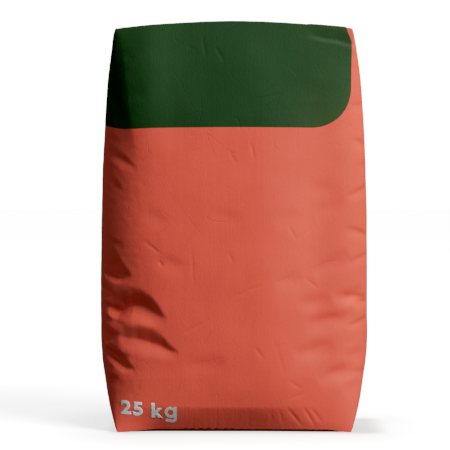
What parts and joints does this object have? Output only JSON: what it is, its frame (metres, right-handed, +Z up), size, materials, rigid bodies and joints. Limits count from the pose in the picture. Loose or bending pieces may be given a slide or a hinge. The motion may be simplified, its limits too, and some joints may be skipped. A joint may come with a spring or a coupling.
{
  "type": "cement bag",
  "caption": "Filled paper valve sack of dry cement, standing upright on its pasted block end, with full bulging faces and a valve sleeve under the top cover sheet.",
  "frame": {"origin": "on the floor, under the middle of the sack's bounding box", "axes": "+Z up along the sack; the printed front faces -Y; the valve is at the top of the +X narrow side"},
  "size_m": [0.3682, 0.1276, 0.5607],
  "materials": {
    "printed_paper": "satin",
    "brown_kraft": "matte"
  },
  "bodies": {
    "root": {"sack": "printed_paper", "bottom_cover_sheet": "brown_kraft", "top_cover_sheet": "brown_kraft", "valve_sleeve": "brown_kraft"}
  },
  "joints": []
}
